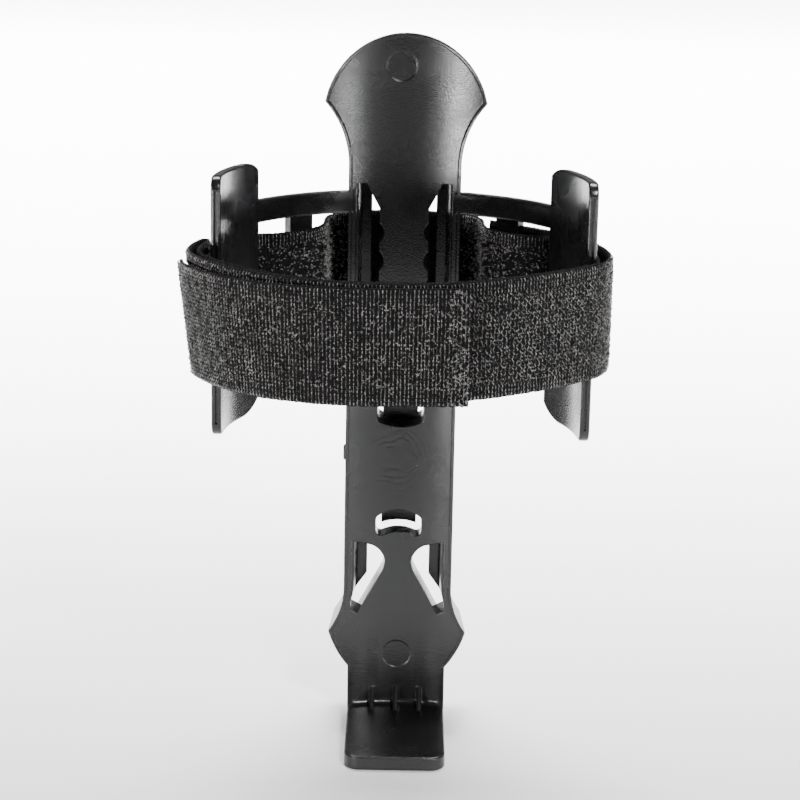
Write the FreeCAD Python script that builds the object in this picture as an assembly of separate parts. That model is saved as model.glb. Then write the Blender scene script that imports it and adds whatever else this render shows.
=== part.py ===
import FreeCAD, Part
import os
import math

# Bottle cage: one moulded body that ties to a frame tube, and a hook-and-loop
# strap that runs round its two side wings and its spine.
# Millimetres. The origin is on the rear saddle line, half-way up the cage,
# with X to the bottle side's right, +Y into the frame tube and +Z up.

V = FreeCAD.Vector

# Overall sizes
cage_height = 165.3
shelf_thickness = 3.1
bottle_wall_radius = 39.0
wall = 2.2
saddle_depth = 10.3

# Places worked out from them
outer_radius = bottle_wall_radius + wall
axis_y = -(outer_radius + saddle_depth)
bottom_z = -cage_height / 2
top_z = cage_height / 2
reach = 2 * outer_radius

# Spine, seen from the front: half widths, and heights above the cage's underside
foot_half_width = 11.7
foot_top = 13.6
flare_half_width = 16.4
flare_height = 23.1
flare_convexity = 0.5
waist_start = 33.5
flare_hollow = 0.9
spine_half_width = 12.85
neck_start = 136.5
neck_hollow = 1.2
head_half_width = 18.3
head_corner_height = 150.3
rim_width = 0.75
rim_height = 0.45

# Channel behind the spine: side walls that end in lips, with an open mouth between the lips
channel_wall = 2.1
saddle_half_width = 11.9
saddle_flare_half_width = 15.4
saddle_foot_half_width = 10.8
channel_bottom = 8.0
channel_foot_height = 17.5
channel_full_top = 129.6
channel_top = 141.0
channel_front_gap = 14.0
channel_overrun = 1.0
lip_thickness = 2.2
mouth_half_width = 7.55
mouth_narrow_end = 33.4
mouth_flare_half_width = 12.6
mouth_flare_height = 26.2
mouth_foot_half_width = 7.6

# Upper windows and the scalloped tongue between them
tongue_window_top = 131.3
tongue_window_bottom = 90.5
window_half_width = 11.05
tongue_root_half_width = 8.75
tongue_half_width = 5.7
tongue_taper_end = 125.4
notch_top = 122.0
notch_length = 4.5
notch_pitch = 6.65
notch_depth = 1.05
notch_count = 4

# Lower windows beside the waist
waist_window_top = 45.1
waist_window_bottom = 26.8
waist_height = 39.6
waist_half_width = 3.15
waist_window_slope = 1.2
waist_window_foot_inner = 9.6
waist_window_foot_outer = 11.3
waist_window_foot_rise = 1.0
waist_window_knee = 31.8
waist_rounding = 3.2
waist_bend_half_width = 4.05
waist_bend_height = 42.0
waist_taper_half_width = 3.65
waist_taper_height = 37.47

# The two curved slots, the collars behind slots and waist windows, and the rear plate
slot_half_width = 5.45
slot_low_centre = 48.0
slot_pitch = 29.3
slot_side_height = 5.5
low_slot_arch = 1.9
high_slot_arch = 1.4
slot_corner_radius = 1.2
collar_thickness = 1.2
low_collar_depth = 5.3
high_collar_depth = 11.8
waist_collar_depth = 7.5
plate_half_width = 4.15
plate_front_depth = 8.7
plate_overlap_in_slot = 3.7
plate_end_bow = 0.7

# Bands, posts and wings
band_height = 5.1
band_span = 41.1
band_centre = 109.05
band_start_angle = 17.0
band_overlap_angle = 2.0
post_start_angle = 31.5
post_end_angle = 40.0
post_setback = 1.0
wing_start_angle = 55.6
wing_height = 58.5
wing_top_rear_radius = 4.5
wing_top_front_radius = 3.0
wing_bottom_rear_radius = 7.0
wing_bottom_front_radius = 3.0
wing_groove_width = 0.5
wing_groove_depth = 0.5
groove_overrun_angle = 1.0
edge_radius = 0.5

# Shelf, its gussets, the fillet at the fold, the ejector marks and the gate's remains
shelf_reach = 31.7
shelf_corner_radius = 3.6
shelf_rim = 2.0
shelf_skin = 2.2
gusset_spacing = 5.7
gusset_height = 4.6
gusset_length = 4.2
gusset_thickness = 1.3
gusset_rounding = 0.4
fold_radius = 1.4
fold_half_width = 10.4
ejector_diameter = 6.8
ejector_depth = 0.2
ejector_head_height = 157.9
ejector_head_x = -1.1
ejector_foot_height = 16.0
gate_height = 67.2
gate_length = 3.4
gate_proud = 0.5
gate_rounding = 0.4

# Strap: a long tape laid in layers round the wings, and a short flap on top.
# Angles run from +Y round the bottle axis.
tape_width = 25.0
tape_thickness = 1.4
tape_centre = 109.25
tape_gap = 0.35
layer_gap = 0.4
front_reach = 23.4
front_shares = (1.0, 0.92, 0.8, 0.68, 0.54, 0.38, 0.2)
left_edge_angle = 93.0
left_bow = 1.6
right_edge_angle = 92.0
right_bow = 3.3
right_tuck = 1.8
guide_angle = 8.0
tape_inner_end = 1.5
fold_root_angle = 86.0
fold_tip_angle = 78.0
middle_looseness = 0.8
loose_angle = 113.0
loose_span = 34.0
flap_layer = 3
flap_looseness = 2.2
flap_joint_x = 14.5
flap_joint_drop = 1.4
flap_tip_angle = 90.0
flap_tuck = 0.2
saddle_turn_out = 2.6
saddle_turn_depth = 3.4
saddle_leave_out = 4.6
saddle_leave_depth = 9.0
window_lean = 4.9
window_step = 3.1
post_entry_angle = 3.0
post_exit_angle = 1.5
past_post_angle = 7.0
past_post_step = 1.2
post_clearance = 1.6
wing_approach_angle = 3.0
wing_rear_clearance = 0.6
wing_run_angles = (60.0, 68.0, 76.0, 84.0)
saddle_slack = 1.4
saddle_bow = 0.8
outer_run_angles = (85, 78, 70, 62, 54, 46, 39, 33, 27)
outer_slack = 2.6
outer_slack_angle = 70.0
outer_slack_span = 34.0
corner_share = 0.45
straight_turn = 0.01

# Where the tape runs, worked out from what it goes round
tape_on_wing = outer_radius + tape_gap + tape_thickness / 2
tape_in_post = bottle_wall_radius + post_setback - post_clearance - tape_gap - tape_thickness / 2
tape_behind = saddle_slack + tape_thickness / 2
layer_pitch = tape_thickness + layer_gap


def at_height(height):
    return bottom_z + height


def front_face(edges):
    return Part.Face(Part.Wire(edges))


def front_point(x, height, y=0.0):
    return V(x, y, at_height(height))


def line(a, b):
    return Part.LineSegment(a, b).toShape()


def arc(a, b, c):
    return Part.Arc(a, b, c).toShape()


def bulged(a, b, bulge):
    """An arc from a to b in the XZ plane, its middle moved sideways by bulge."""
    chord = b - a
    side = V(chord.z, 0, -chord.x).normalize()
    return arc(a, (a + b) * 0.5 + side * bulge, b)


def ring(inner, outer, z_low, z_high):
    height = z_high - z_low
    tube = Part.makeCylinder(outer, height, V(0, axis_y, z_low))
    return tube.cut(Part.makeCylinder(inner, height, V(0, axis_y, z_low)))


def through(face):
    """A front-view face pushed through the whole depth of the cage."""
    start = face.copy()
    start.translate(V(0, axis_y, 0))
    return start.extrude(V(0, reach, 0))


def mirrored(shape):
    return shape.mirror(V(0, 0, 0), V(1, 0, 0))


def sector(start_angle, end_angle, inner, outer, z_low, z_high):
    """A piece of ring between two angles, both measured from the +Y direction."""
    start = math.radians(90 - end_angle)
    middle = math.radians(90 - (start_angle + end_angle) / 2)
    end = math.radians(90 - start_angle)

    def spot(radius, angle):
        return V(radius * math.cos(angle), axis_y + radius * math.sin(angle), z_low)

    edges = [
        arc(spot(outer, start), spot(outer, middle), spot(outer, end)),
        line(spot(outer, end), spot(inner, end)),
        arc(spot(inner, end), spot(inner, middle), spot(inner, start)),
        line(spot(inner, start), spot(outer, start)),
    ]
    return Part.Face(Part.Wire(edges)).extrude(V(0, 0, z_high - z_low))


def spine_outline(inset=0.0):
    """Front outline of the spine with its flare and head, drawn in by inset."""
    foot = front_point(foot_half_width - inset, inset)
    foot_end = front_point(foot_half_width - inset, foot_top)
    flare = front_point(flare_half_width - inset, flare_height)
    waist = front_point(spine_half_width - inset, waist_start)
    neck = front_point(spine_half_width - inset, neck_start)
    corner = front_point(head_half_width - inset, head_corner_height)
    crown = front_point(0, cage_height - inset)
    right = [
        line(foot, foot_end),
        bulged(foot_end, flare, flare_convexity),
        bulged(flare, waist, -flare_hollow),
        line(waist, neck),
        bulged(neck, corner, -neck_hollow),
    ]
    left = [mirrored(edge) for edge in right]
    top = arc(corner, crown, V(-corner.x, corner.y, corner.z))
    bottom = line(V(-foot.x, foot.y, foot.z), foot)
    return front_face(Part.__sortEdges__(right + left + [top, bottom]))


def channel_wire(y, half_width, flare, foot, overrun):
    """Outline of the channel at one depth, four edges a side."""
    low = channel_bottom - overrun
    high = channel_top + overrun
    points = [
        front_point(foot, low, y),
        front_point(foot, channel_foot_height, y),
        front_point(flare, flare_height, y),
        front_point(half_width, waist_start, y),
        front_point(half_width, high, y),
    ]
    right = [
        line(points[0], points[1]),
        line(points[1], points[2]),
        bulged(points[2], points[3], -flare_hollow),
        line(points[3], points[4]),
    ]
    left = [mirrored(edge) for edge in right]
    top = line(points[4], V(-points[4].x, y, points[4].z))
    bottom = line(V(-points[0].x, y, points[0].z), points[0])
    return Part.Wire(Part.__sortEdges__(right + left + [top, bottom]))


def channel_body(inset, overrun):
    """The whole space inside the channel's outline, drawn in by inset."""
    front = channel_wire(-channel_front_gap, spine_half_width - inset, flare_half_width - inset,
                         foot_half_width - inset, overrun)
    rear = channel_wire(0, saddle_half_width - inset, saddle_flare_half_width - inset,
                        saddle_foot_half_width - inset, overrun)
    return Part.makeLoft([front, rear], True, True)


def channel_mouth():
    """The opening between the lips, which widens where the cage flares."""
    low = channel_bottom - channel_overrun
    high = channel_top + channel_overrun
    outline = [
        (mouth_foot_half_width, low),
        (mouth_foot_half_width, channel_foot_height),
        (mouth_flare_half_width, mouth_flare_height),
        (mouth_half_width, mouth_narrow_end),
        (mouth_half_width, high),
    ]
    right = [front_point(x, height) for x, height in outline]
    left = [V(-point.x, 0, point.z) for point in reversed(right)]
    return through(Part.Face(Part.makePolygon(right + left + right[:1])))


def channel():
    """Side walls with their lips, cut to their side profile and to the bottle wall."""
    hollow = channel_body(channel_wall, channel_overrun)
    lips = Part.makeBox(reach, lip_thickness, cage_height, V(-reach / 2, -lip_thickness, bottom_z))
    walls = channel_body(0, 0).cut(hollow.cut(lips)).cut(channel_mouth())
    depth = -channel_front_gap
    heel = V(0, depth, at_height(channel_bottom))
    foot = V(0, 0, at_height(channel_foot_height))
    shoulder = V(0, 0, at_height(channel_full_top))
    neck = V(0, depth + wall, at_height(channel_top))
    neck_front = V(0, depth, at_height(channel_top))
    edges = [
        line(heel, foot),
        line(foot, shoulder),
        line(shoulder, neck),
        line(neck, neck_front),
        line(neck_front, heel),
    ]
    profile = Part.Face(Part.Wire(edges))
    profile.translate(V(-reach / 2, 0, 0))
    walls = walls.common(profile.extrude(V(reach, 0, 0)))
    bottle = Part.makeCylinder(outer_radius - wall / 2, cage_height, V(0, axis_y, bottom_z))
    return walls.cut(bottle)


def tongue_window():
    """Right-hand window beside the tongue, whose inner edge has round notches."""
    root_top = front_point(tongue_root_half_width, tongue_window_top)
    root_low = front_point(tongue_root_half_width, tongue_window_bottom)
    outer_top = front_point(window_half_width, tongue_window_top)
    outer_low = front_point(window_half_width, tongue_window_bottom)
    reached = front_point(tongue_half_width, tongue_taper_end)
    edges = [line(root_top, reached)]
    for index in range(notch_count):
        upper = notch_top - index * notch_pitch
        start = front_point(tongue_half_width, upper)
        end = front_point(tongue_half_width, upper - notch_length)
        edges += [line(reached, start), bulged(start, end, notch_depth)]
        reached = end
    edges += [
        line(reached, root_low),
        line(root_low, outer_low),
        line(outer_low, outer_top),
        line(outer_top, root_top),
    ]
    return front_face(edges)


def waist_window():
    """Right-hand window beside the waist, wide at the top and narrow at the foot."""
    top_outer = front_point(window_half_width, waist_window_top)
    top_inner = front_point(waist_half_width + waist_rounding, waist_window_top - waist_window_slope)
    bend = front_point(waist_bend_half_width, waist_bend_height)
    waist = front_point(waist_half_width, waist_height)
    below_waist = front_point(waist_taper_half_width, waist_taper_height)
    foot_inner = front_point(waist_window_foot_inner, waist_window_bottom)
    foot_outer = front_point(waist_window_foot_outer, waist_window_bottom + waist_window_foot_rise)
    knee = front_point(window_half_width, waist_window_knee)
    edges = [
        line(top_outer, top_inner),
        arc(top_inner, bend, waist),
        line(waist, below_waist),
        line(below_waist, foot_inner),
        line(foot_inner, foot_outer),
        line(foot_outer, knee),
        line(knee, top_outer),
    ]
    return front_face(edges)


def slot(centre, arch):
    """Curved slot with round corners; arch above zero bows it up, below zero down."""
    half = slot_side_height / 2
    low_left = front_point(-slot_half_width, centre - half)
    low_right = front_point(slot_half_width, centre - half)
    high_left = front_point(-slot_half_width, centre + half)
    high_right = front_point(slot_half_width, centre + half)
    edges = [
        arc(low_left, front_point(0, centre - half + arch), low_right),
        line(low_right, high_right),
        arc(high_right, front_point(0, centre + half + arch), high_left),
        line(high_left, low_left),
    ]
    return front_face(edges).makeOffset2D(-slot_corner_radius).makeOffset2D(slot_corner_radius)


def collar(opening, depth):
    """Wall round an opening, from the spine's rear back to a depth below its front."""
    wall_round = through(opening.makeOffset2D(collar_thickness)).cut(through(opening))
    return wall_round.common(
        ring(outer_radius - wall / 2, bottle_wall_radius + depth, bottom_z, top_z))


def rear_plate():
    """Plate behind the slots, held by their collars; its bowed ends show through them."""
    low = slot_low_centre + slot_side_height / 2 - plate_overlap_in_slot
    high = slot_low_centre + slot_pitch + slot_side_height / 2 + collar_thickness
    low_left = front_point(-plate_half_width, low)
    low_right = front_point(plate_half_width, low)
    high_left = front_point(-plate_half_width, high)
    high_right = front_point(plate_half_width, high)
    edges = [
        arc(low_left, front_point(0, low + plate_end_bow), low_right),
        line(low_right, high_right),
        line(high_right, high_left),
        line(high_left, low_left),
    ]
    front_radius = bottle_wall_radius + plate_front_depth
    return through(front_face(edges)).common(
        ring(front_radius - collar_thickness / 2, front_radius + wall, bottom_z, top_z))


def slot_collars(low_slot, high_slot):
    """Deep collars that carry the rear plate, but for the low slot's shallow underside."""
    low_deep = collar(low_slot, plate_front_depth)
    under = Part.makeBox(reach, reach, slot_low_centre,
                         V(-reach / 2, axis_y + bottle_wall_radius + low_collar_depth, bottom_z))
    return [low_deep.cut(under), collar(high_slot, high_collar_depth)]


def spine():
    shell = ring(bottle_wall_radius, outer_radius, bottom_z, top_z)
    web = shell.common(through(spine_outline()))
    field = ring(bottle_wall_radius - wall, bottle_wall_radius + rim_height, bottom_z, top_z)
    web = web.cut(field.common(through(spine_outline(rim_width))))
    low_slot = slot(slot_low_centre, low_slot_arch)
    high_slot = slot(slot_low_centre + slot_pitch, -high_slot_arch)
    plate_ring = ring(bottle_wall_radius - wall, outer_radius, bottom_z, top_z)
    for opening in (low_slot, high_slot):
        web = web.cut(through(opening).common(plate_ring))
    body = web.fuse([channel(), rear_plate()] + slot_collars(low_slot, high_slot))
    cutter_ring = ring(bottle_wall_radius - wall, outer_radius + wall / 2, bottom_z, top_z)
    for window in (tongue_window(), waist_window()):
        cutter = through(window).common(cutter_ring)
        body = body.cut([cutter, mirrored(cutter)])
    frames = collar(waist_window(), waist_collar_depth)
    return body.fuse([frames, mirrored(frames)])


def softened(shape, radius):
    """A shape with all its edges rounded."""
    return shape.makeFillet(radius, shape.Edges)


def ejector_mark(x, height):
    """Shallow round mark that an ejector pin leaves in the front face."""
    radius = ejector_diameter / 2
    pin = Part.makeCylinder(radius, reach / 2, V(x, axis_y, at_height(height)), V(0, 1, 0))
    face_radius = bottle_wall_radius + rim_height
    return pin.common(ring(face_radius - wall, face_radius + ejector_depth, bottom_z, top_z))


def bands():
    """Two flat hoops on each side, from the spine to the wing."""
    pieces = []
    for side in (-1, 1):
        centre = band_centre + side * (band_span - band_height) / 2
        band = sector(
            band_start_angle, wing_start_angle + band_overlap_angle, bottle_wall_radius,
            outer_radius, at_height(centre - band_height / 2), at_height(centre + band_height / 2))
        pieces.append(softened(band, edge_radius))
    return pieces


def post():
    """Upright between the hoops, set back so that the tape passes inside it."""
    inner = bottle_wall_radius + post_setback
    half_span = (band_span - band_height) / 2
    return sector(
        post_start_angle, post_end_angle, inner, inner + wall,
        at_height(band_centre - half_span), at_height(band_centre + half_span))


def wing():
    """Side wing: a curved plate with four round corners and a grooved front edge."""
    low = at_height(band_centre - wing_height / 2)
    high = at_height(band_centre + wing_height / 2)
    plate = sector(wing_start_angle, 90, bottle_wall_radius, outer_radius, low, high)
    rear_y = axis_y + outer_radius * math.cos(math.radians(wing_start_angle))
    front_y = axis_y
    corners = [
        (V(0, front_y, low), wing_bottom_front_radius, 1, 1),
        (V(0, rear_y, low), wing_bottom_rear_radius, -1, 1),
        (V(0, rear_y, high), wing_top_rear_radius, -1, -1),
        (V(0, front_y, high), wing_top_front_radius, 1, -1),
    ]
    for corner, radius, y_way, z_way in corners:
        plate = plate.cut(corner_waste(corner, radius, y_way, z_way))
    plate = softened(plate, edge_radius)
    groove_radius = (bottle_wall_radius + outer_radius) / 2
    groove = sector(
        90 - math.degrees(wing_groove_depth / groove_radius), 90 + groove_overrun_angle,
        groove_radius - wing_groove_width / 2, groove_radius + wing_groove_width / 2,
        low + wing_bottom_front_radius, high - wing_top_front_radius)
    return plate.cut(groove)


def corner_waste(corner, radius, y_way, z_way):
    """What rounding one corner of the wing removes, seen from the side."""
    block = Part.makeBox(reach, radius, radius, corner)
    shift = V(0, 0 if y_way > 0 else -radius, 0 if z_way > 0 else -radius)
    block.translate(shift)
    centre = corner + V(0, y_way * radius, z_way * radius)
    return block.cut(Part.makeCylinder(radius, reach, centre, V(1, 0, 0)))


def shelf():
    """Shelf that the bottle stands on, with round front corners and a hollow underside."""
    back_y = axis_y + bottle_wall_radius + wall / 2
    front_y = axis_y + bottle_wall_radius - shelf_reach
    width = 2 * foot_half_width
    plate = Part.makeBox(width, back_y - front_y, shelf_thickness,
                         V(-foot_half_width, front_y, bottom_z))
    front_corners = [
        edge for edge in plate.Edges
        if edge.BoundBox.YMax < front_y + shelf_rim and edge.BoundBox.ZLength > shelf_thickness / 2
    ]
    plate = plate.makeFillet(shelf_corner_radius, front_corners)
    top = [edge for edge in plate.Edges if edge.BoundBox.ZMin > bottom_z + shelf_skin]
    plate = plate.makeFillet(edge_radius, top)
    hollow = Part.makeBox(width - 2 * shelf_rim, back_y - front_y - 2 * shelf_rim,
                          shelf_thickness - shelf_skin,
                          V(-foot_half_width + shelf_rim, front_y + shelf_rim, bottom_z))
    return plate.cut(hollow)


def gussets():
    """Three small ribs across the fold between spine and shelf."""
    pieces = []
    for index in (-1, 0, 1):
        x = index * gusset_spacing
        wall_y = axis_y + bottle_wall_radius + wall / 2
        foot_y = axis_y + bottle_wall_radius - gusset_length
        low = at_height(shelf_thickness - shelf_skin / 2)
        high = at_height(shelf_thickness + gusset_height)
        front_y = axis_y + bottle_wall_radius
        edges = [
            line(V(x, foot_y, low), V(x, wall_y, low)),
            line(V(x, wall_y, low), V(x, wall_y, high)),
            line(V(x, wall_y, high), V(x, front_y, high)),
            line(V(x, front_y, high), V(x, foot_y, at_height(shelf_thickness))),
            line(V(x, foot_y, at_height(shelf_thickness)), V(x, foot_y, low)),
        ]
        side = Part.Face(Part.Wire(edges))
        side.translate(V(-gusset_thickness / 2, 0, 0))
        plate = side.extrude(V(gusset_thickness, 0, 0))
        sloping = [
            edge for edge in plate.Edges
            if edge.BoundBox.YLength > gusset_length / 2 and edge.BoundBox.ZLength > gusset_height / 2
        ]
        pieces.append(plate.makeFillet(gusset_rounding, sloping))
    return pieces


def fold_fillet():
    """Fillet in the fold between spine and shelf, inside the raised rims."""
    face_y = axis_y + bottle_wall_radius + rim_height
    floor_z = at_height(shelf_thickness)
    bury = rim_height / 2
    low_front = V(0, face_y - fold_radius, floor_z - bury)
    low_rear = V(0, face_y + bury, floor_z - bury)
    high_rear = V(0, face_y + bury, floor_z + fold_radius)
    high_front = V(0, face_y, floor_z + fold_radius)
    on_floor = V(0, face_y - fold_radius, floor_z)
    bend = 1 - math.sqrt(0.5)
    hollow = V(0, face_y - fold_radius * bend, floor_z + fold_radius * bend)
    section = Part.Face(Part.Wire([
        line(low_front, low_rear),
        line(low_rear, high_rear),
        line(high_rear, high_front),
        arc(high_front, hollow, on_floor),
        line(on_floor, low_front),
    ]))
    half_angle = math.degrees(fold_half_width / bottle_wall_radius)
    section.rotate(V(0, axis_y, 0), V(0, 0, 1), -half_angle)
    return section.revolve(V(0, axis_y, 0), V(0, 0, 1), 2 * half_angle)


def gate_remains():
    """Small lump on the left edge, where the sprue was broken off."""
    rear_y = axis_y + math.sqrt(outer_radius ** 2 - spine_half_width ** 2)
    lump = Part.makeBox(2 * gate_proud, wall, gate_length,
                        V(-spine_half_width - gate_proud, rear_y - wall,
                          at_height(gate_height - gate_length / 2)))
    return softened(lump, gate_rounding)


def cage_body():
    side = bands() + [post(), wing()]
    pieces = side + [mirrored(piece) for piece in side] + [shelf(), fold_fillet()] + gussets()
    body = spine().fuse(pieces + [gate_remains()])
    body = body.cut([
        ejector_mark(ejector_head_x, ejector_head_height),
        ejector_mark(0, ejector_foot_height),
    ])
    return body.removeSplitter()


def polar(angle, radius):
    """A point round the bottle axis; angles run from +Y and are below zero on the left."""
    turn = math.radians(angle)
    return V(radius * math.sin(turn), axis_y + radius * math.cos(turn), 0)


def bump(angle, centre, half_span):
    """A smooth hump, 1 at its centre and 0 beyond its half span."""
    away = abs(angle - centre) / half_span
    return 0.5 + 0.5 * math.cos(math.pi * away) if away < 1 else 0.0


def front_layer(side, layer, loose=0.0):
    """One layer's points over half the front, from the wing to beside the middle."""
    bow, edge_angle = (left_bow, left_edge_angle) if side < 0 else (right_bow, right_edge_angle)
    rise = tape_on_wing - front_reach if side < 0 else tape_on_wing - right_tuck - front_reach
    innermost = [polar(side * (edge_angle - guide_angle), front_reach + rise)]
    for share in front_shares:
        angle = 180 - share * (180 - edge_angle)
        innermost.append(polar(side * angle, front_reach + rise * share ** bow))
    innermost.append(front_middle(0))
    points = []
    for before, point, after in zip(innermost, innermost[1:], innermost[2:]):
        came = (point - before).normalize()
        goes = (after - point).normalize()
        along = (came + goes).normalize()
        outward = V(-along.y, along.x, 0) * side
        radial = point - V(0, axis_y, 0)
        angle = math.degrees(math.atan2(abs(radial.x), radial.y))
        away = layer * layer_pitch / came.dot(along) + loose * bump(angle, loose_angle, loose_span)
        points.append(point + outward * away)
    return points


def front_middle(layer):
    return V(0, axis_y - front_reach - layer * layer_pitch, 0)


def window_run(side):
    """From behind the spine, through the window and round the wing's rear edge."""
    beside_x = saddle_half_width + saddle_slack + tape_thickness / 2
    points = [
        V(side * (saddle_half_width - saddle_slack), tape_behind, 0),
        V(side * (beside_x + saddle_turn_out), tape_behind - saddle_turn_depth, 0),
        V(side * (beside_x + saddle_leave_out), tape_behind - saddle_leave_depth, 0),
        polar(side * (post_start_angle - window_lean), tape_in_post + window_step),
        polar(side * (post_start_angle + post_entry_angle), tape_in_post),
        polar(side * (post_end_angle + post_exit_angle), tape_in_post),
        polar(side * (post_end_angle + past_post_angle), tape_in_post + past_post_step),
        polar(side * (wing_start_angle - wing_approach_angle), tape_on_wing + wing_rear_clearance),
    ]
    points += [polar(side * angle, tape_on_wing) for angle in wing_run_angles]
    return points


def left_fold():
    """The tight turn at the far left, where the tape doubles back on itself."""
    inner = tape_on_wing + layer_pitch
    outer = inner + layer_pitch
    return [
        polar(-fold_root_angle, inner),
        polar(-fold_tip_angle, inner),
        polar(-fold_tip_angle, outer),
        polar(-fold_root_angle, outer),
    ]


def right_outer_run():
    """The tape's outer end, slack round the right wing and outside the post."""
    outside_post = bottle_wall_radius + post_setback + wall + tape_gap + tape_thickness / 2
    points = []
    for angle in outer_run_angles:
        radius = outside_post + outer_slack * bump(angle, outer_slack_angle, outer_slack_span)
        points.append(polar(angle, radius))
    return points


def long_tape_points():
    """The long tape's route from its inner end, on the front, to its outer end."""
    start = [V(tape_inner_end, axis_y - front_reach, 0), front_middle(0)]
    first_turn = front_layer(-1, 0)[::-1] + window_run(-1)[::-1]
    behind = [V(0, tape_behind + saddle_bow, 0)]
    second_turn = window_run(1) + front_layer(1, 1) + [front_middle(1)]
    doubled = front_layer(-1, 1)[::-1] + left_fold()
    doubled += front_layer(-1, 2, middle_looseness) + [front_middle(2)]
    last_turn = front_layer(1, 2)[::-1] + right_outer_run()
    return start + first_turn + behind + second_turn + doubled + last_turn


def flap_points():
    """The short tape on top, from its joint with the long one to its curled free end."""
    away = flap_layer * layer_pitch
    joint = [V(flap_joint_x, axis_y - front_reach - away + flap_joint_drop, 0)]
    over = [front_middle(flap_layer)] + front_layer(-1, flap_layer, flap_looseness)[::-1]
    return joint + over + [polar(-flap_tip_angle, tape_on_wing + away - flap_tuck)]


def ribbon_side(points, offset):
    """Edges of a path with every corner rounded, moved sideways by offset."""
    flat = []
    last = None
    for index, point in enumerate(points):
        before = point - points[index - 1] if index else points[1] - point
        after = points[index + 1] - point if index + 1 < len(points) else before
        run = min(before.Length, after.Length)
        before = V(before.x, before.y, 0).normalize()
        after = V(after.x, after.y, 0).normalize()
        side_before = V(-before.y, before.x, 0)
        side_after = V(-after.y, after.x, 0)
        turn = before.cross(after).z
        if abs(turn) < straight_turn:
            spot = point + side_before * offset
            if last:
                flat.append(line(last, spot))
            last = spot
            continue
        half_turn = before.getAngle(after) / 2
        cut = corner_share * run
        radius = cut / math.tan(half_turn)
        way = math.copysign(1, turn)
        centre = point - before * cut + side_before * (way * radius)
        outward = (point - centre).normalize()
        start = point - before * cut + side_before * offset
        end = point + after * cut + side_after * offset
        if last:
            flat.append(line(last, start))
        flat.append(arc(start, centre + outward * (radius - way * offset), end))
        last = end
    return flat


def ribbon(points):
    """Tape standing on edge along a path of points."""
    left = ribbon_side(points, tape_thickness / 2)
    right = ribbon_side(points, -tape_thickness / 2)
    ends = [
        line(right[0].Vertexes[0].Point, left[0].Vertexes[0].Point),
        line(left[-1].Vertexes[-1].Point, right[-1].Vertexes[-1].Point),
    ]
    outline = Part.Wire(Part.__sortEdges__(left + right + ends))
    face = Part.Face(outline)
    face.translate(V(0, 0, at_height(tape_centre - tape_width / 2)))
    return face.extrude(V(0, 0, tape_width))


os.makedirs("parts", exist_ok=True)
nodes = {
    "cage_body": cage_body(),
    "strap_tape": ribbon(long_tape_points()),
    "strap_flap": ribbon(flap_points()),
}
for name, shape in nodes.items():
    shape.exportStep("parts/" + name + ".step")
    print(name, len(shape.Solids), shape.isValid(), round(shape.Volume), shape.BoundBox)
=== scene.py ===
"""Looks of a moulded bottle cage with a hook-and-loop strap. Lengths are in metres."""

import math
import random

import bmesh
import bpy
from mathutils import Matrix, Vector


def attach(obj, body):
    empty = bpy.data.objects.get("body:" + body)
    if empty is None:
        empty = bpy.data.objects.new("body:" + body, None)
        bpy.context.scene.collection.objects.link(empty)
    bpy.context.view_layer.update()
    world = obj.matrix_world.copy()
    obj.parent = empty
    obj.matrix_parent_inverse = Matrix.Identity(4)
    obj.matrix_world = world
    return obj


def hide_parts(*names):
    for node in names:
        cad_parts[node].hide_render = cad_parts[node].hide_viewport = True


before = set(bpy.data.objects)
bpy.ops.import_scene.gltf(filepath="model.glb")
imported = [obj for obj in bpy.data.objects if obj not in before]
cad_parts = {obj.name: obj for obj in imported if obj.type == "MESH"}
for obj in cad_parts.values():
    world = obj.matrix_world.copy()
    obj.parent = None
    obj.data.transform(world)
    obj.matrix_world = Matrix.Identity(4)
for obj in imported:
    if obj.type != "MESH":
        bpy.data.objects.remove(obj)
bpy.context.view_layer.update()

MM = 0.001

# The bottle axis, the bands' posts, the wings and the channel behind the spine
AXIS_Y = -51.5 * MM
BOTTLE_RADIUS = 39.0 * MM
WALL = 2.2 * MM
OUTER_RADIUS = BOTTLE_RADIUS + WALL
POST_SETBACK = 1.0 * MM
POST_START = 31.5
POST_END = 40.0
WING_START = 55.6
SADDLE_HALF_WIDTH = 11.9 * MM

# The copy of the moulding: what is welded, what stays sharp, and the wings' feet
WELD_DISTANCE = 0.002 * MM
SHARP_ANGLE = math.radians(24)
WING_FOOT_INNER = 25.0 * MM
WING_FOOT_TOP = 4.4 * MM
WING_FOOT_RISE = 1.3 * MM

# The plastic: noise scales are per metre, depths are those of the bumps
BROAD_WAVES = 45.0
BROAD_DEPTH = 0.2 * MM
GLOSS_PATCHES = 130.0
PITS = 2300.0
GRAIN = 4200.0
GRAIN_DEPTH = 0.022 * MM
EDGE_SHINE = 0.4 * MM
FLOW_CENTRE = (-1.0 * MM, -12.5 * MM, -17.0 * MM)
FLOW_PITCH = 1.7 * MM
FLOW_START = 2.0 * MM
FLOW_REACH = 11.0 * MM
FLOW_WANDER = 1.2 * MM
FLOW_WAVES = 220.0
FLOW_DEPTH = 0.03 * MM

# The tape: width and thickness, and the gaps between its layers
TAPE_WIDTH = 25.0 * MM
TAPE_THICKNESS = 1.0 * MM
HALF_THICKNESS = TAPE_THICKNESS / 2
TAPE_MIDDLE_Z = 26.6 * MM
TAPE_GAP = 0.45 * MM
LAYER_GAP = 0.2 * MM
LAYER_PITCH = TAPE_THICKNESS + LAYER_GAP
TAPE_ON_WING = OUTER_RADIUS + TAPE_GAP + HALF_THICKNESS

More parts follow.
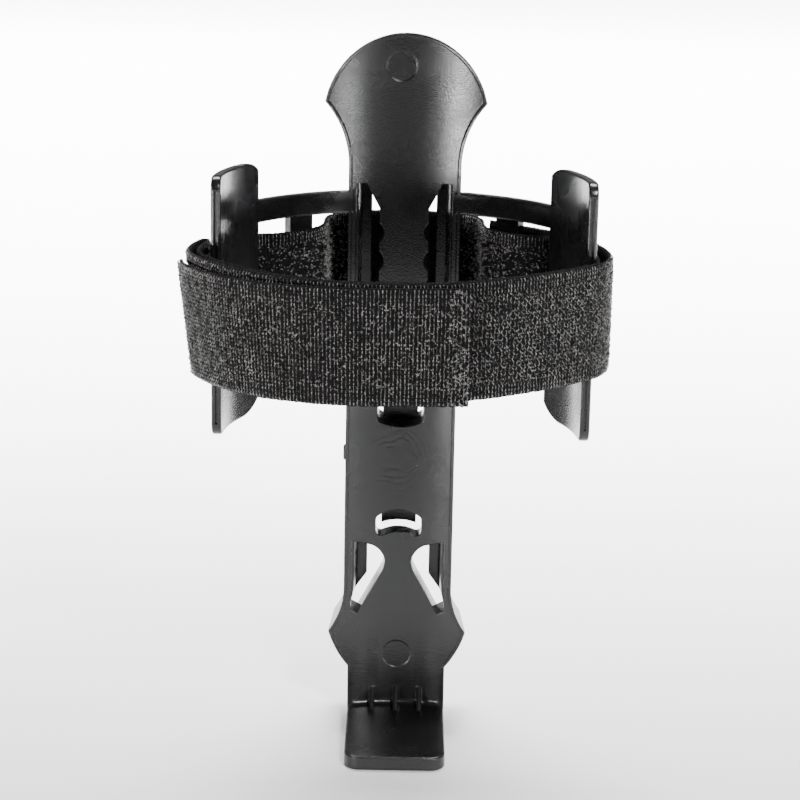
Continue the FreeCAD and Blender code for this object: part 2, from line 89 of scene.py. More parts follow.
# The layers in front: how far the innermost stands from the axis, where it leaves the wing and
# how it bows on each side (the power of the bow, the angle, and how far it is tucked in)
FRONT_REACH = 24.9 * MM
FRONT_SHARES = (1.0, 0.92, 0.8, 0.68, 0.54, 0.38, 0.2)
LEFT_FRONT = (1.6, 93.0, 0.0)
RIGHT_FRONT = (3.3, 92.0, 1.8 * MM)
GUIDE_ANGLE = 8.0
LOOSE_ANGLE = 113.0
LOOSE_SPAN = 34.0
LAYER_TWO_LOOSE = 0.5 * MM
FLAP_LOOSE = 0.9 * MM

# The run behind the spine: its slack, and how far out and forward its two turns stand
SADDLE_SLACK = 1.4 * MM
BEHIND_SLACK = 0.8 * MM
TURN_OUT, TURN_DEPTH = 2.6 * MM, 3.4 * MM
LEAVE_OUT, LEAVE_DEPTH = 4.6 * MM, 9.0 * MM

# The run inside the posts, as angles and steps from their edges, and on to the wings
WINDOW_LEAN = 4.9
WINDOW_STEP = 3.1 * MM
POST_TUCK = 1.6 * MM
POST_ENTRY, POST_EXIT, POST_CLEAR = 3.0, 1.5, 7.0
POST_CLEAR_STEP = 1.2 * MM
WING_LEAD, WING_LEAD_STEP = 3.0, 0.6 * MM
WING_ANGLES = (60, 68, 76, 84)

# The loose fold at the far left, and the tape's outer end, slack round the right wing
FOLD_ROOT, FOLD_NEAR_TIP, FOLD_TIP = 85, 77, 76
FOLD_TIGHT = 0.3 * MM
FOLD_OPEN = 0.8 * MM
OUTER_ANGLES = (85, 78, 70, 62, 54, 46, 39, 33, 27)
OUTER_SLACK = 2.6 * MM
OUTER_SLACK_ANGLE = 70.0
OUTER_SLACK_SPAN = 34.0

# Where the long tape starts, and where the flap is fused to it and ends
INNER_END_X = 1.5 * MM
FLAP_JOINT_X = 13.8 * MM
FLAP_JOINT_DROP = 0.7 * MM
FLAP_TIP_ANGLE = -90
FLAP_TIP_LIFT = 0.1 * MM

# The mesh of the cloth
ACROSS_STEPS = 18
SAMPLE_STEP = 0.4 * MM
CURVE_STEPS = 24
EDGE_ROUND = 0.5 * MM
EDGE_THIN = 0.45
RAGGED = 0.09 * MM
RAGGED_POWER = 6

# The weave of the tape, and the threads that stand on it
RIB_PITCH = 0.8 * MM
RIB_STEP = 0.85 * MM
STITCH_PITCH = 0.7 * MM
LATTICE_PITCH = 1.6 * MM
LATTICE_SLOPE = 0.62
WEAVE_DEPTH = 0.16 * MM
SELVEDGE = 2.9 * MM
SELVEDGE_BLEND = (9.3, 10.1)
THREAD_RADIUS = 0.13 * MM
THREAD_BENDS = 4
THREAD_CORNERS = 3
THREAD_END = 0.55
HOOK_COLUMN = 0.95 * MM
HOOK_ROW = 0.85 * MM
HOOK_LEAN = 0.17 * MM
HOOK_WOBBLE = 0.14 * MM
CURL_SHARE = 0.5
INNER = TAPE_WIDTH / 2 - SELVEDGE
OUTER = TAPE_WIDTH / 2 - 0.25 * MM
UNDER_FLAP = 60 * MM
WELD_LENGTH = 4.5 * MM
FLAP_LOOP_COUNT = 1200
WELD_LOOP_COUNT = 260
BACK_LOOP_COUNT = 1500

# The camera that took the square picture
CAMERA_TARGET = Vector((-0.2 * MM, AXIS_Y, 7.65 * MM))
CAMERA_DISTANCE = 482.4 * MM
CAMERA_PITCH = math.radians(15.0)
CAMERA_ROLL = math.radians(1.07)
CAMERA_NEAR = 0.01
SENSOR = 36.0
PICTURE_PIXELS = 800
FOCAL_PIXELS = 2224

# The studio
FLOOR_Z = -82.65 * MM
FLOOR_DROP = 0.2 * MM
FLOOR_HALF_SIZE = 6.0
SPINE_HEAD = (0.0, -0.02, 0.05)
STRAP_FRONT = (0.0, -0.07, 0.02)
NEAR_FLOOR = (0.0, 0.95, FLOOR_Z)
FAR_FLOOR = (0.0, 2.6, FLOOR_Z)
# Name, place, target, width and height, watts, spread in degrees
SOFTBOXES = (
    ("left_front", (-0.4, -0.62, -0.045), SPINE_HEAD, (0.1, 0.06), 3.2, 180),
    ("right_front", (0.46, -0.6, -0.045), SPINE_HEAD, (0.1, 0.06), 1.6, 180),
    ("key", (0.3, -0.75, 0.55), STRAP_FRONT, (0.14, 0.14), 9.0, 180),
    ("near_floor_wash", (0.0, 0.95, 1.0), NEAR_FLOOR, (2.4, 1.5), 150.0, 60),
    ("far_floor_wash", (0.0, 2.6, 1.6), FAR_FLOOR, (4.0, 2.2), 330.0, 90),
)
# Name, place, target, cone in degrees, watts
POOLS = (
    ("right_pool", (0.16, -0.22, 0.9), (0.085, -0.13, FLOOR_Z), 9.0, 9.0),
    ("left_pool", (-0.16, -0.22, 0.9), (-0.1, -0.13, FLOOR_Z), 7.0, 2.0),
)
POOL_RADIUS = 20 * MM


# Materials

def nodes_of(name):
    """A new material, its node tree and its shader."""
    material = bpy.data.materials.new(name)
    material.use_nodes = True
    tree = material.node_tree
    return material, tree, tree.nodes["Principled BSDF"]


def add(tree, kind, **settings):
    """A shader node; settings are its properties, or its inputs where the name starts with in_."""
    node = tree.nodes.new(kind)
    for name, value in settings.items():
        if name.startswith("in_"):
            node.inputs[name[3:].replace("_", " ")].default_value = value
        else:
            setattr(node, name, value)
    return node


def noise(tree, coordinates, scale, detail=2.0, roughness=0.5):
    node = add(tree, "ShaderNodeTexNoise", in_Scale=scale, in_Detail=detail, in_Roughness=roughness)
    tree.links.new(coordinates, node.inputs["Vector"])
    return node.outputs["Fac"]


def remap(tree, value, low, high, out_low, out_high):
    """The value carried over from one range to another, and held to its ends."""
    node = add(tree, "ShaderNodeMapRange", in_From_Min=low, in_From_Max=high,
               in_To_Min=out_low, in_To_Max=out_high)
    tree.links.new(value, node.inputs["Value"])
    return node.outputs["Result"]


def calculate(tree, operation, first, second=None):
    node = add(tree, "ShaderNodeMath", operation=operation)
    for socket, value in zip(node.inputs, (first, second)):
        if value is None:
            continue
        if isinstance(value, (int, float)):
            socket.default_value = value
        else:
            tree.links.new(value, socket)
    return node.outputs["Value"]


def waves(tree, value, pitch):
    """A sine of the value that repeats at the pitch."""
    return calculate(tree, "SINE", calculate(tree, "MULTIPLY", value, 2 * math.pi / pitch))


def blend(tree, share, first, second):
    """A colour between two greys or tints."""
    colour = add(tree, "ShaderNodeMixRGB")
    colour.inputs["Color1"].default_value = (*first, 1)
    colour.inputs["Color2"].default_value = (*second, 1)
    tree.links.new(share, colour.inputs["Fac"])
    return colour.outputs["Color"]


def bump(tree, height, distance, strength=1.0, under=None):
    node = add(tree, "ShaderNodeBump", in_Distance=distance, in_Strength=strength)
    tree.links.new(height, node.inputs["Height"])
    if under:
        tree.links.new(under, node.inputs["Normal"])
    return node.outputs["Normal"]


def flow_marks(tree, place):
    """Faint rings that the melt leaves beside the upper slot, fading outwards."""
    away = add(tree, "ShaderNodeVectorMath", operation="DISTANCE")
    tree.links.new(place, away.inputs[0])
    away.inputs[1].default_value = FLOW_CENTRE
    distance = away.outputs["Value"]
    wander = remap(tree, noise(tree, place, FLOW_WAVES, 1.0), 0.3, 0.7, -FLOW_WANDER, FLOW_WANDER)
    rings = waves(tree, calculate(tree, "ADD", distance, wander), FLOW_PITCH)
    fading = remap(tree, distance, FLOW_START, FLOW_REACH, 1.0, 0.0)
    return calculate(tree, "MULTIPLY", rings, calculate(tree, "MAXIMUM", fading, 0.0))


def moulded_plastic():
    """Black plastic, semi-gloss, with the fine grain of a spark-eroded mould."""
    material, tree, shader = nodes_of("moulded_plastic")
    place = add(tree, "ShaderNodeTexCoord").outputs["Object"]
    broad = noise(tree, place, BROAD_WAVES, 1.0)
    patchy = noise(tree, place, GLOSS_PATCHES, 1.0)
    grain = noise(tree, place, GRAIN, 0.0)
    pits = noise(tree, place, PITS, 0.0)
    colour = blend(tree, broad, (0.0045, 0.0045, 0.0048), (0.008, 0.008, 0.0084))
    tree.links.new(colour, shader.inputs["Base Color"])
    worn = calculate(tree, "ADD", remap(tree, broad, 0.35, 0.65, 0.23, 0.27),
                     remap(tree, patchy, 0.35, 0.65, -0.02, 0.03))
    tree.links.new(worn, shader.inputs["Roughness"])
    rounded = add(tree, "ShaderNodeBevel", samples=8, in_Radius=EDGE_SHINE).outputs["Normal"]
    wavy = bump(tree, broad, BROAD_DEPTH, 0.3, rounded)
    flowed = bump(tree, flow_marks(tree, place), FLOW_DEPTH, 0.8, wavy)
    pitted = bump(tree, pits, GRAIN_DEPTH, 1.0, flowed)
    tree.links.new(bump(tree, grain, GRAIN_DEPTH, 1.0, pitted), shader.inputs["Normal"])
    shader.inputs["IOR"].default_value = 1.52
    return material


def woven_tape(name, hook_share):
    """Black nylon tape: cross ribs at the selvedges, and hooks or loops between them."""
    material, tree, shader = nodes_of(name)
    # The map runs in millimetres: first along the tape, then across it.
    place = add(tree, "ShaderNodeUVMap", uv_map="tape_mm").outputs["UV"]
    split = add(tree, "ShaderNodeSeparateXYZ")
    tree.links.new(place, split.inputs["Vector"])
    along, across = split.outputs["X"], split.outputs["Y"]
    warp = noise(tree, place, 0.9, 2.0)
    shifted = calculate(tree, "ADD", along, remap(tree, warp, 0.3, 0.7, -0.12, 0.12))
    rib = waves(tree, shifted, RIB_PITCH / MM)
    stitch = waves(tree, across, STITCH_PITCH / MM)
    sloped = calculate(tree, "MULTIPLY", across, LATTICE_SLOPE)
    rising = waves(tree, calculate(tree, "ADD", shifted, sloped), LATTICE_PITCH / MM)
    falling = waves(tree, calculate(tree, "SUBTRACT", shifted, sloped), LATTICE_PITCH / MM)
    lattice = calculate(tree, "MULTIPLY", rising, falling)
    fuzz = noise(tree, place, 2.4, 4.0, 0.75)
    ribbed = calculate(tree, "ADD", rib, calculate(tree, "MULTIPLY", stitch, 0.35))
    mixed = calculate(tree, "ADD", calculate(tree, "MULTIPLY", lattice, 1.1 * hook_share),
                      calculate(tree, "MULTIPLY", ribbed, 1.0 - 0.6 * hook_share))
    choose = add(tree, "ShaderNodeMix", data_type="FLOAT")
    selvedge = remap(tree, calculate(tree, "ABSOLUTE", across), *SELVEDGE_BLEND, 0.0, 1.0)
    middle = calculate(tree, "ADD", mixed, calculate(tree, "MULTIPLY", fuzz, 3.0))
    edge = calculate(tree, "ADD", ribbed, calculate(tree, "MULTIPLY", fuzz, 0.9))
    for socket, value in ((0, selvedge), (2, middle), (3, edge)):
        tree.links.new(value, choose.inputs[socket])
    height = choose.outputs[0]
    # The colour follows the weave's height: painted shade darkens the grooves between ribs and
    # threads, and the fuzz varies the tone at random.
    colour = blend(tree, remap(tree, height, -1.0, 3.0, 0.0, 1.0),
                   (0.0008, 0.0008, 0.0009), (0.0045, 0.0044, 0.0046))
    tree.links.new(colour, shader.inputs["Base Color"])
    tree.links.new(remap(tree, fuzz, 0.3, 0.7, 0.4, 0.65), shader.inputs["Roughness"])
    tree.links.new(bump(tree, height, WEAVE_DEPTH, 0.9), shader.inputs["Normal"])
    shader.inputs["IOR"].default_value = 1.53
    shader.inputs["Specular IOR Level"].default_value = 0.12
    return material


def monofilament():
    """Glossy dark nylon thread of the hooks and loops, painted lighter grey in random spots as
    glints.
    """
    material, tree, shader = nodes_of("monofilament")
    place = add(tree, "ShaderNodeTexCoord").outputs["Object"]
    single = noise(tree, place, 1700.0, 1.0)
    patches = noise(tree, place, 240.0, 3.0)
    # Painted glints: random spots of the thread are lightened towards grey to stand in for
    # sparkling highlights.
    painted_glints = calculate(tree, "MULTIPLY", remap(tree, single, 0.4, 0.62, 0.04, 1.0),
                        remap(tree, patches, 0.35, 0.65, 0.6, 1.0))
    colour = blend(tree, painted_glints, (0.003, 0.003, 0.0032), (0.34, 0.335, 0.325))
    tree.links.new(colour, shader.inputs["Base Color"])
    tree.links.new(remap(tree, patches, 0.3, 0.7, 0.2, 0.34), shader.inputs["Roughness"])
    shader.inputs["IOR"].default_value = 1.53
    return material


def pale_floor():
    material, _, shader = nodes_of("studio_floor")
    shader.inputs["Base Color"].default_value = (0.93, 0.93, 0.93, 1)
    shader.inputs["Roughness"].default_value = 0.6
    return material


def put(name, data):
    """An object in the scene."""
    thing = bpy.data.objects.new(name, data)
    bpy.context.scene.collection.objects.link(thing)
    return thing


# The cage's moulding

def moulding():
    """The moulding with smooth curved faces; it stands for the plain node."""
    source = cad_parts["cage_body"]
    piece = put("cage_moulding", source.data.copy())
    mesh = piece.data
    work = bmesh.new()
    work.from_mesh(mesh)
    bmesh.ops.remove_doubles(work, verts=work.verts, dist=WELD_DISTANCE)
    bmesh.ops.recalc_face_normals(work, faces=work.faces)
    for corner in work.verts:
        if abs(corner.co.x) > WING_FOOT_INNER and corner.co.z < WING_FOOT_TOP:
            corner.co.z += WING_FOOT_RISE
    for edge in work.edges:
        sharp = len(edge.link_faces) != 2 or edge.calc_face_angle(math.pi) > SHARP_ANGLE
        edge.smooth = not sharp
    for face in work.faces:
        face.smooth = True
    work.to_mesh(mesh)
    work.free()
    mesh.materials.clear()
    mesh.materials.append(moulded_plastic())
    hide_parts("cage_body")
    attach(piece, "root")


# The strap's route, seen from above

def polar(angle, radius):
    """A point round the bottle axis; angles run from +Y and are below zero on the left."""
    turn = math.radians(angle)
    return Vector((radius * math.sin(turn), AXIS_Y + radius * math.cos(turn)))


def hump(angle, centre, half_span):
    """From 0 up to 1 at the centre and back to 0, smoothly."""
    away = abs(angle - centre) / half_span
    return 0.5 + 0.5 * math.cos(math.pi * away) if away < 1 else 0.0


def front_layer(side, layer, loose=0.0):
    """One layer's points over half the front, from the wing to beside the middle."""
    bow, edge_angle, tuck = LEFT_FRONT if side < 0 else RIGHT_FRONT
    rise = TAPE_ON_WING - tuck - FRONT_REACH
    innermost = [polar(side * (edge_angle - GUIDE_ANGLE), FRONT_REACH + rise)]
    for share in FRONT_SHARES:
        angle = 180 - share * (180 - edge_angle)
        innermost.append(polar(side * angle, FRONT_REACH + rise * share ** bow))
    innermost.append(front_middle(0))
    points = []
    for before, point, after in zip(innermost, innermost[1:], innermost[2:]):
        came = (point - before).normalized()
        goes = (after - point).normalized()
        along = (came + goes).normalized()
        outward = Vector((-along.y, along.x)) * side
        angle = math.degrees(math.atan2(abs(point.x), point.y - AXIS_Y))
        away = layer * LAYER_PITCH / came.dot(along) + loose * hump(angle, LOOSE_ANGLE, LOOSE_SPAN)
        points.append(point + outward * away)
    return points


def front_middle(layer):
    """A layer's point in the middle of the front."""
    return Vector((0, AXIS_Y - FRONT_REACH - layer * LAYER_PITCH))


def window_run(side):
    """From behind the spine, through the window and round the wing's rear edge."""
    behind = SADDLE_SLACK + HALF_THICKNESS
    beside_x = SADDLE_HALF_WIDTH + SADDLE_SLACK + HALF_THICKNESS
    in_post = BOTTLE_RADIUS + POST_SETBACK - POST_TUCK - TAPE_GAP - HALF_THICKNESS
    points = [
        Vector((side * (SADDLE_HALF_WIDTH - SADDLE_SLACK), behind)),
        Vector((side * (beside_x + TURN_OUT), behind - TURN_DEPTH)),
        Vector((side * (beside_x + LEAVE_OUT), behind - LEAVE_DEPTH)),
        polar(side * (POST_START - WINDOW_LEAN), in_post + WINDOW_STEP),
        polar(side * (POST_START + POST_ENTRY), in_post),
        polar(side * (POST_END + POST_EXIT), in_post),
        polar(side * (POST_END + POST_CLEAR), in_post + POST_CLEAR_STEP),
        polar(side * (WING_START - WING_LEAD), TAPE_ON_WING + WING_LEAD_STEP),
    ]
    return points + [polar(side * angle, TAPE_ON_WING) for angle in WING_ANGLES]


def left_fold():
    """The loose turn at the far left, where the tape doubles back on itself."""
    inner = TAPE_ON_WING + LAYER_PITCH - FOLD_TIGHT
    outer = inner + LAYER_PITCH + FOLD_OPEN
    return [polar(-FOLD_ROOT, inner), polar(-FOLD_NEAR_TIP, inner),
            polar(-FOLD_TIP, outer), polar(-FOLD_ROOT, outer)]


def right_outer_run():
    """The tape's outer end, slack round the right wing and outside the post."""
    outside_post = OUTER_RADIUS + POST_SETBACK + TAPE_GAP + HALF_THICKNESS
    return [
        polar(angle, outside_post + OUTER_SLACK * hump(angle, OUTER_SLACK_ANGLE, OUTER_SLACK_SPAN))
        for angle in OUTER_ANGLES
    ]


def set_on(points, lift, lean=(0.0, 0.0)):
    """Points with the tape's lift and its top edge's outward lean, in mm from start to end."""
    steps = max(len(points) - 1, 1)
    placed = []
    for index, point in enumerate(points):
        share = index / steps
        placed.append(Vector((point.x, point.y, (lift[0] + (lift[1] - lift[0]) * share) * MM,
                              (lean[0] + (lean[1] - lean[0]) * share) * MM)))
    return placed


def tape_route():
    """The long tape's route in two runs: to the fold at the far left, and on from it."""
    inner_end = Vector((INNER_END_X, AXIS_Y - FRONT_REACH))
    behind = Vector((0, SADDLE_SLACK + HALF_THICKNESS + BEHIND_SLACK))
    innermost = [inner_end, front_middle(0)] + front_layer(-1, 0)[::-1]
    to_fold = set_on(innermost, (0, -0.3), (0, 0.3))
    to_fold += set_on(window_run(-1)[::-1], (-0.9, 0.6))
    to_fold += set_on([behind] + window_run(1), (0.6, 0))
    to_fold += set_on(front_layer(1, 1) + [front_middle(1)], (0, 0))
    to_fold += set_on(front_layer(-1, 1)[::-1], (0, 1.2), (0, 0.7))
    to_fold += set_on(left_fold()[:2], (1.3, 1.4), (0.6, 0))
    from_fold = set_on(left_fold()[2:], (1.4, 1.3), (0, -0.9))
    from_fold += set_on(front_layer(-1, 2, LAYER_TWO_LOOSE), (1.2, 0.1), (-1.1, 0))
    from_fold += set_on([front_middle(2)] + front_layer(1, 2)[::-1], (0, 0.2))
    from_fold += set_on(right_outer_run(), (0.3, 1.5))
    return to_fold, from_fold


def flap_route():
    """The short tape on top, from its joint with the long one to its curled free end."""
    joint = Vector((FLAP_JOINT_X, AXIS_Y - FRONT_REACH - 3 * LAYER_PITCH + FLAP_JOINT_DROP))
    over = [joint, front_middle(3)] + front_layer(-1, 3, FLAP_LOOSE)[::-1]
    tip = polar(FLAP_TIP_ANGLE, TAPE_ON_WING + 3 * LAYER_PITCH + FLAP_TIP_LIFT)
    return set_on(over + [tip], (-0.4, -1.0), (0.8, 1.5))


def smooth(control, step):
    """Even samples of a curve that bends near the control points and touches their runs."""
    middles = [(a + b) / 2 for a, b in zip(control, control[1:])]
    raw = [control[0]]
    for start, corner, end in zip(middles, control[1:-1], middles[1:]):
        for index in range(CURVE_STEPS):
            t = index / CURVE_STEPS
            raw.append(start * (1 - t) ** 2 + corner * 2 * t * (1 - t) + end * t * t)
    raw += [middles[-1], control[-1]]
    even = [raw[0]]
    left = step
    for a, b in zip(raw, raw[1:]):
        run = (b - a).length
        while run >= left > 0:
            a = a + (b - a) * (left / run)
            even.append(a)
            run -= left
            left = step
        left -= run
    return even


# The strap's cloth

class Lie:
    """How a tape lies: even samples of its route and its side direction at each."""

    def __init__(self, route):
        self.spots = smooth(route, SAMPLE_STEP)
        self.sides = []
        for index in range(len(self.spots)):
            before = self.spots[max(index - 1, 0)]
            after = self.spots[min(index + 1, len(self.spots) - 1)]
            self.sides.append(Vector((before.y - after.y, after.x - before.x, 0)).normalized())

    def length(self):
        return (len(self.spots) - 1) * SAMPLE_STEP

    def place(self, along, across, out):
        """A point on the tape: along its route, across its width, and out from its middle."""
        step = min(max(along / SAMPLE_STEP, 0.0), len(self.spots) - 1.001)
        index = int(step)
        share = step - index
        spot = self.spots[index].lerp(self.spots[index + 1], share)
        side = self.sides[index].lerp(self.sides[index + 1], share).normalized()
        leaning = side * (out + spot.w * across / (TAPE_WIDTH / 2))
        return Vector((spot.x, spot.y, TAPE_MIDDLE_Z + spot.z + across)) + leaning

    def along_at(self, test):
        """How far along the first sample lies that passes a test."""
        return next(index for index, spot in enumerate(self.spots) if test(spot)) * SAMPLE_STEP


def ribbon(name, lie, materials, seed):
    """Tape on edge along its route, with rounded and slightly ragged selvedges."""
    dice = random.Random(seed)
    work = bmesh.new()
    tape_mm = work.loops.layers.uv.new("tape_mm")
    heights = [TAPE_WIDTH * (index / ACROSS_STEPS - 0.5) for index in range(ACROSS_STEPS + 1)]
    rows = heights + heights[::-1]
    half = len(heights)
    rings = []
    for index in range(len(lie.spots)):
        ragged = (dice.uniform(-RAGGED, RAGGED), dice.uniform(-RAGGED, RAGGED))
        ring = []
        for place, height in enumerate(rows):
            from_edge = TAPE_WIDTH / 2 - abs(height)
            thin = min(1.0, EDGE_THIN + (1 - EDGE_THIN) * from_edge / EDGE_ROUND)
            out = HALF_THICKNESS * thin * (1 if place < half else -1)
            reach = (abs(height) / (TAPE_WIDTH / 2)) ** RAGGED_POWER
            across = height + ragged[height > 0] * reach
            ring.append(work.verts.new(lie.place(index * SAMPLE_STEP, across, out)))
        rings.append(ring)
    count = len(rows)
    for index, (ring, following) in enumerate(zip(rings, rings[1:])):
        for spot in range(count):
            beyond = (spot + 1) % count
            quad = work.faces.new((ring[spot], ring[beyond], following[beyond], following[spot]))
            quad.smooth = True
            quad.material_index = 0 if spot < half else 1
            marks = ((index, rows[spot]), (index, rows[beyond]),
                     (index + 1, rows[beyond]), (index + 1, rows[spot]))
            for loop, (step, height) in zip(quad.loops, marks):
                loop[tape_mm].uv = (step * SAMPLE_STEP / MM, height / MM)
    work.faces.new(rings[0][::-1])
    work.faces.new(rings[-1])
    bmesh.ops.recalc_face_normals(work, faces=work.faces)
    mesh = bpy.data.meshes.new(name)
    work.to_mesh(mesh)
    work.free()
    for material in materials:
        mesh.materials.append(material)
    return piece_of(name, mesh)


def piece_of(name, mesh):
    """A piece of the strap."""
    piece = put(name, mesh)
    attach(piece, "root")
    return piece


def threads(name, runs, material):
    """Thin three-sided threads through lists of points, as one mesh."""
    points = []
    faces = []
    for run in runs:
        first = len(points)
        for index, spot in enumerate(run):
            before = run[max(index - 1, 0)]
            after = run[min(index + 1, len(run) - 1)]
            along = (after - before).normalized()
            side = along.orthogonal().normalized()
            up = along.cross(side)
            radius = THREAD_RADIUS * (THREAD_END if index in (0, len(run) - 1) else 1.0)
            for corner in range(THREAD_CORNERS):
                turn = 2 * math.pi * corner / THREAD_CORNERS
                points.append(spot + (side * math.cos(turn) + up * math.sin(turn)) * radius)
        for index in range(len(run) - 1):
            low = first + THREAD_CORNERS * index
            high = low + THREAD_CORNERS
            for corner in range(THREAD_CORNERS):
                beyond = (corner + 1) % THREAD_CORNERS
                faces.append((low + corner, low + beyond, high + beyond, high + corner))
    mesh = bpy.data.meshes.new(name)
    mesh.from_pydata(points, [], faces)
    mesh.polygons.foreach_set("use_smooth", [True] * len(faces))
    mesh.materials.append(material)
    return piece_of(name, mesh)


def arch(lie, start, end, rise, face):
    """A thread that leaves the cloth at one point, arches over it and goes back in."""
    run = []
    for index in range(THREAD_BENDS + 1):
        share = index / THREAD_BENDS
        along = start[0] + (end[0] - start[0]) * share
        across = start[1] + (end[1] - start[1]) * share
        out = HALF_THICKNESS - THREAD_RADIUS + (rise + THREAD_RADIUS) * math.sin(math.pi * share)
        run.append(lie.place(along, across, face * out))
    return run


def rib_threads(lie, start, end, low, high, face, dice):
    """Cross ribs: short arches one above the other, in rows across the tape."""
    runs = []
    count = max(1, round((high - low) / RIB_STEP))
    along = start
    while along < end:
        shift = dice.uniform(-0.07, 0.07) * MM
        for index in range(count):
            foot = low + (high - low) * index / count
            top = low + (high - low) * (index + 1) / count
            lean = dice.uniform(-0.1, 0.1) * MM
            rise = dice.uniform(0.16, 0.4) * MM
            runs.append(arch(lie, (along + shift, foot), (along + shift + lean, top), rise, face))
        along += RIB_PITCH
    return runs


def hook_threads(lie, start, end, low, high, face, dice):
    """The hook field: columns of crooked stitches with small curls between them."""
    runs = []
    rows = max(1, round((high - low) / HOOK_ROW))
    pitch = (high - low) / rows

    def near(along, across):
        return (along + dice.uniform(-HOOK_WOBBLE, HOOK_WOBBLE),
                across + dice.uniform(-HOOK_WOBBLE, HOOK_WOBBLE))

    for column in range(int((end - start) / HOOK_COLUMN)):
        along = start + (column + 0.5) * HOOK_COLUMN
        for row in range(rows):
            foot = low + row * pitch
            side = HOOK_LEAN if (row + column) % 2 else -HOOK_LEAN
            runs.append(arch(lie, near(along - side, foot), near(along + side, foot + pitch),
                             dice.uniform(0.2, 0.5) * MM, face))
            if dice.random() < CURL_SHARE:
                curl = along + HOOK_COLUMN / 2
                out = near(curl, foot)
                back = (curl + 2 * dice.uniform(-HOOK_WOBBLE, HOOK_WOBBLE),
                        foot + pitch / 2 + dice.uniform(-HOOK_WOBBLE, HOOK_WOBBLE))
                runs.append(arch(lie, out, back, dice.uniform(0.15, 0.4) * MM, face))
    return runs


def loop_threads(lie, start, end, low, high, face, dice, count):
    """Loose loops that stray in all directions over the cloth."""
    runs = []
    for _ in range(count):
        along = dice.uniform(start, end)
        across = dice.uniform(low, high)
        turn = dice.uniform(0, 2 * math.pi)
        reach = dice.uniform(0.35, 0.75) * MM
        end_spot = (along + reach * math.cos(turn), across + reach * math.sin(turn))
        runs.append(arch(lie, (along, across), end_spot, dice.uniform(0.2, 0.5) * MM, face))
    return runs


def flap(thread, materials, dice):
    """The short tape: ribs all over its outer face, and stray loops between the selvedges."""
    lie = Lie(flap_route())
    cloth = ribbon("flap_cloth", lie, materials, 5)
    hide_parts("strap_flap")
    end = lie.length()
    runs = rib_threads(lie, 0.3 * MM, end - 0.3 * MM, -OUTER, OUTER, 1, dice)
    runs += loop_threads(lie, 0.5 * MM, end - 1.0 * MM, -INNER, INNER, 1, dice, FLAP_LOOP_COUNT)
    runs += loop_threads(lie, 0.1 * MM, WELD_LENGTH, -OUTER, OUTER, 1, dice, WELD_LOOP_COUNT)
    return lie, cloth, threads("flap_loops", runs, thread)


def strap():
    hooks = woven_tape("hook_tape", 1.0)
    loops = woven_tape("loop_tape", 0.0)
    thread = monofilament()
    dice = random.Random(11)
    to_fold, from_fold = tape_route()
    lie = Lie(to_fold + from_fold)
    fold = Lie(to_fold).length()
    tape = ribbon("strap_cloth", lie, (loops, hooks), 3)
    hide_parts("strap_tape")
    flap_lie, flap_cloth, flap_loops = flap(thread, (loops, hooks), dice)
    # The long tape's outer face, from under the flap to its outer end
    start = fold + UNDER_FLAP
    end = lie.length() - 0.5 * MM
    runs = hook_threads(lie, start, end, -INNER, INNER, -1, dice)
    runs += rib_threads(lie, start, end, INNER, OUTER, -1, dice)
    runs += rib_threads(lie, start, end, -OUTER, -INNER, -1, dice)
    runs += rib_threads(lie, fold - 3 * MM, start, INNER, OUTER, -1, dice)
    tape_hooks = threads("tape_hooks", runs, thread)
    # The inside of the strap at the back, between each wing and the spine
    runs = []
    for first, last in (
            (lie.along_at(lambda spot: spot.x < -35 * MM and spot.y > -35 * MM),
             lie.along_at(lambda spot: spot.x > -14 * MM and spot.y > -12 * MM)),
            (lie.along_at(lambda spot: spot.x > 14 * MM and spot.y > -12 * MM),
             lie.along_at(lambda spot: spot.x > 33 * MM and spot.y > -35 * MM))):
        runs += rib_threads(lie, first, last, INNER, OUTER, -1, dice)
        runs += loop_threads(lie, first, last, -INNER, INNER, -1, dice, BACK_LOOP_COUNT)
    back_loops = threads("back_loops", runs, thread)
    flap_lie.length()


# The studio

def aimed(name, light, place, target):
    """A light that stands at its place and looks at the target."""
    thing = put(name, light)
    thing.location = place
    thing.rotation_euler = (Vector(target) - thing.location).to_track_quat("-Z", "Y").to_euler()


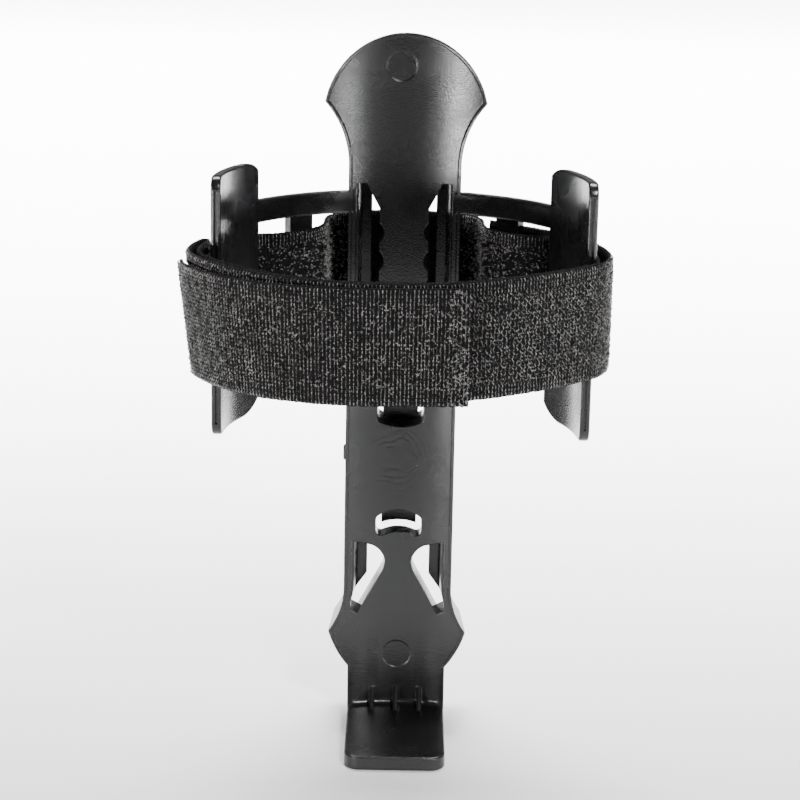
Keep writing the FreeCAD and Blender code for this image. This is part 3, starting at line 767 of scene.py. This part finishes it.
def softbox(name, place, target, size, power, spread):
    light = bpy.data.lights.new(name, "AREA")
    light.shape = "RECTANGLE"
    light.size, light.size_y = size
    light.energy = power
    light.spread = math.radians(spread)
    aimed(name, light, place, target)


def pool(name, place, target, cone, power):
    """A narrow lamp from above that lights one patch of the floor."""
    light = bpy.data.lights.new(name, "SPOT")
    light.energy = power
    light.spot_size = math.radians(cone)
    light.spot_blend = 1.0
    light.shadow_soft_size = POOL_RADIUS
    aimed(name, light, place, target)


def studio():
    work = bmesh.new()
    bmesh.ops.create_grid(work, x_segments=1, y_segments=1, size=FLOOR_HALF_SIZE)
    mesh = bpy.data.meshes.new("floor")
    work.to_mesh(mesh)
    work.free()
    mesh.materials.append(pale_floor())
    floor = put("floor", mesh)
    floor.location.z = FLOOR_Z - FLOOR_DROP
    world = bpy.data.worlds.new("studio")
    world.use_nodes = True
    tree = world.node_tree
    sky = tree.nodes["Background"]
    # The room is darker on the camera's side than behind the cage.
    facing = add(tree, "ShaderNodeSeparateXYZ")
    tree.links.new(add(tree, "ShaderNodeTexCoord").outputs["Generated"], facing.inputs["Vector"])
    tree.links.new(remap(tree, facing.outputs["Y"], -0.2, 0.6, 0.06, 0.3), sky.inputs["Strength"])
    sky.inputs["Color"].default_value = (1, 1, 1, 1)
    bpy.context.scene.world = world
    for box in SOFTBOXES:
        softbox(*box)
    for lamp in POOLS:
        pool(*lamp)


def camera():
    lens = bpy.data.cameras.new("camera")
    lens.sensor_width = SENSOR
    lens.lens = SENSOR * FOCAL_PIXELS / PICTURE_PIXELS
    lens.clip_start = CAMERA_NEAR
    thing = put("camera", lens)
    away = Vector((0, -math.cos(CAMERA_PITCH), math.sin(CAMERA_PITCH)))
    thing.location = CAMERA_TARGET + away * CAMERA_DISTANCE
    tilt = Matrix.Rotation(math.pi / 2 - CAMERA_PITCH, 3, "X")
    roll = Matrix.Rotation(CAMERA_ROLL, 3, "Z")
    thing.rotation_euler = (tilt @ roll).to_euler()
    bpy.context.scene.camera = thing


camera()
studio()
moulding()
strap()
